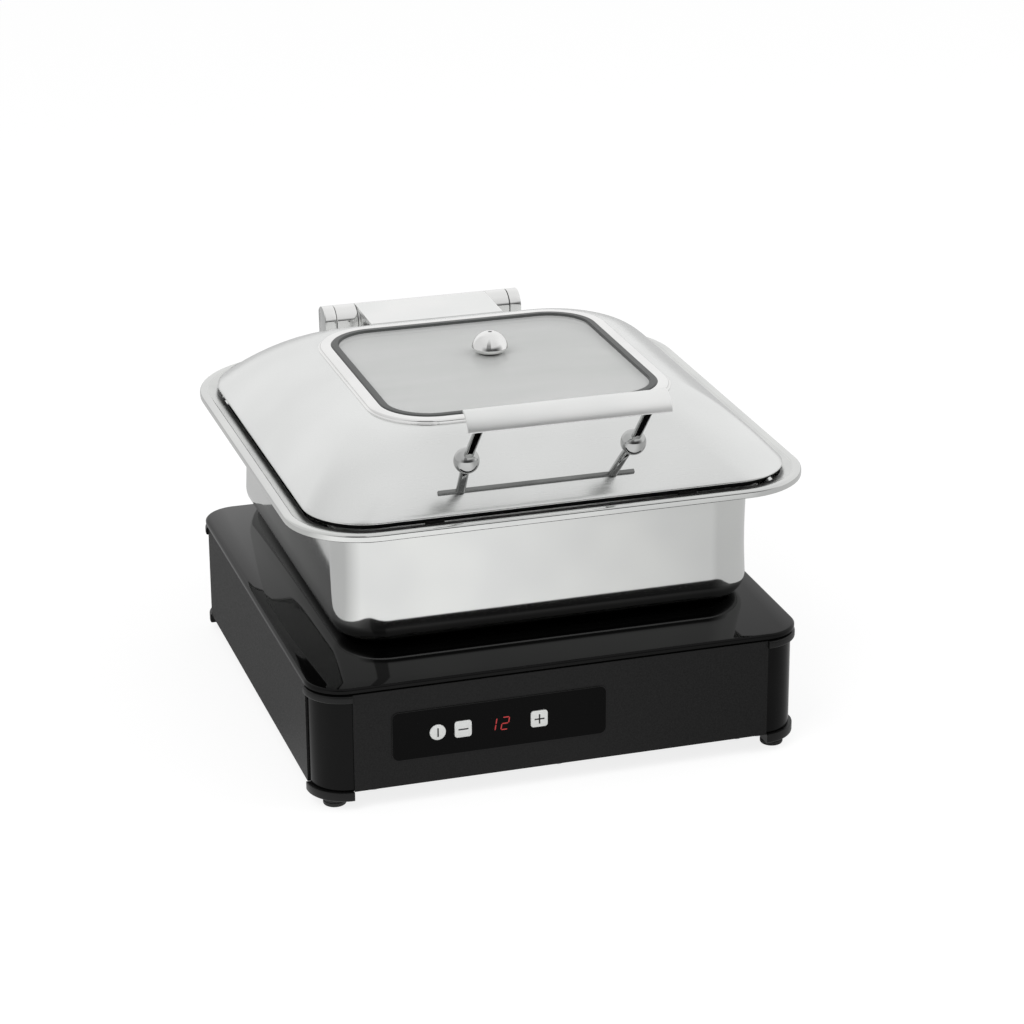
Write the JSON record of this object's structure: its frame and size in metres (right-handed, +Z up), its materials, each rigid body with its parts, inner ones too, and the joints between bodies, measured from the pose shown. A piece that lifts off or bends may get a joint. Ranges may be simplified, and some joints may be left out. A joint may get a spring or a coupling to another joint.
{
  "type": "electric food warmer",
  "caption": "Low black induction base with a glass top and key panel, carrying a steel chafing dish with a lift-out pan and a hinged domed lid with window, knob and grip.",
  "frame": {"origin": "on the floor plane, under the middle of the base's plan", "axes": "+X to the user's right, +Y to the rear where the lid hinge is, +Z up"},
  "size_m": [0.3936, 0.4754, 0.2992],
  "materials": {
    "panel_black": "fine-textured matte black powder coat",
    "post_black": "glossy black moulding",
    "trim_black": "matte black moulding",
    "rubber_black": "black rubber",
    "top_glass": "polished black glass-ceramic",
    "label_black": "smooth satin black film",
    "key_grey": "light grey keys",
    "display_dark": "dark red display block",
    "board_green": "green circuit board",
    "part_dark": "dark electrical parts",
    "copper": "enamelled copper winding",
    "ferrite": "sintered dark grey",
    "sink_aluminium": "plain extruded aluminium",
    "screw_steel": "plated screw steel",
    "steel_satin": "satin stainless steel",
    "steel_polished": "mirror-polished stainless steel",
    "window_clear": "clear tempered glass"
  },
  "bodies": {
    "base": {"front_panel": "panel_black", "rear_panel": "panel_black", "side_panel_left": "panel_black", "side_panel_right": "panel_black", "corner_post_front_left": "post_black", "corner_post_front_right": "post_black", "corner_post_rear_right": "post_black", "corner_post_rear_left": "post_black", "post_caps": "trim_black", "post_shoes": "trim_black", "rubber_feet": "rubber_black", "floor_plate": "panel_black", "floor_screws": "screw_steel", "glass_top": "top_glass", "glass_seal": "rubber_black", "cable_gland": "trim_black", "control_label": "label_black", "control_board": "board_green", "key_switches": "part_dark", "display_block": "display_dark", "induction_coil": "copper", "coil_carrier": "part_dark", "ferrite_bars": "ferrite", "glass_sensor": "ferrite", "fan_housing": "part_dark", "power_board": "board_green", "board_standoffs": "part_dark", "heat_sink": "sink_aluminium", "capacitors": "part_dark", "filter_choke": "copper", "mains_filter": "part_dark"},
    "power_key": {"power_key": "key_grey"},
    "minus_key": {"minus_key": "key_grey"},
    "plus_key": {"plus_key": "key_grey"},
    "fan_rotor": {"fan_rotor": "part_dark"},
    "dish": {"water_pan": "steel_polished", "dish_knuckle_left": "steel_polished", "dish_knuckle_right": "steel_polished", "hinge_brakes": "screw_steel", "hinge_caps": "steel_polished", "hinge_pin": "screw_steel", "hinge_stand": "steel_polished"},
    "food_pan": {"food_pan": "steel_satin"},
    "lid": {"lid_shell": "steel_polished", "window_frame": "steel_polished", "window_seal": "rubber_black", "window_pane": "window_clear", "knob_washer": "rubber_black", "knob_stem": "screw_steel", "knob_nut": "screw_steel", "lid_bumpers": "rubber_black", "grip_arm_left": "steel_polished", "grip_arm_right": "steel_polished", "grip_balls": "steel_polished", "grip_bar": "steel_polished", "grip_strip": "steel_satin", "grip_screws": "screw_steel", "lid_knuckle": "steel_polished", "hinge_plate": "steel_satin"},
    "vent_knob": {"vent_knob": "steel_polished"}
  },
  "joints": [
    {"name": "power_key_press", "type": "slide", "parent": "base", "child": "power_key", "axis": [0, 1, 0], "range_m": [0, 0.0006], "stiffness_N_per_m": 800, "springref_m": -0.0005},
    {"name": "minus_key_press", "type": "slide", "parent": "base", "child": "minus_key", "axis": [0, 1, 0], "range_m": [0, 0.0006], "stiffness_N_per_m": 800, "springref_m": -0.0005},
    {"name": "plus_key_press", "type": "slide", "parent": "base", "child": "plus_key", "axis": [0, 1, 0], "range_m": [0, 0.0006], "stiffness_N_per_m": 800, "springref_m": -0.0005},
    {"name": "fan_spin", "type": "hinge", "parent": "base", "child": "fan_rotor", "pos_m": [0.095, 0.105, 0.03], "axis": [0, 0, 1], "continuous": true},
    {"name": "dish_lift", "type": "slide", "parent": "base", "child": "dish", "axis": [0, 0, 1], "range_m": [0, 0.25]},
    {"name": "food_pan_lift", "type": "slide", "parent": "dish", "child": "food_pan", "axis": [0, 0, 1], "range_m": [0, 0.006]},
    {"name": "lid_hinge", "type": "hinge", "parent": "dish", "child": "lid", "pos_m": [0.0161, 0.2416, 0.2251], "axis": [-1, 0, 0], "range_deg": [0, 90]},
    {"name": "vent_knob_turn", "type": "hinge", "parent": "lid", "child": "vent_knob", "pos_m": [0.019, 0.0525, 0.255], "axis": [0, 0, 1], "range_deg": [0, 90]}
  ]
}
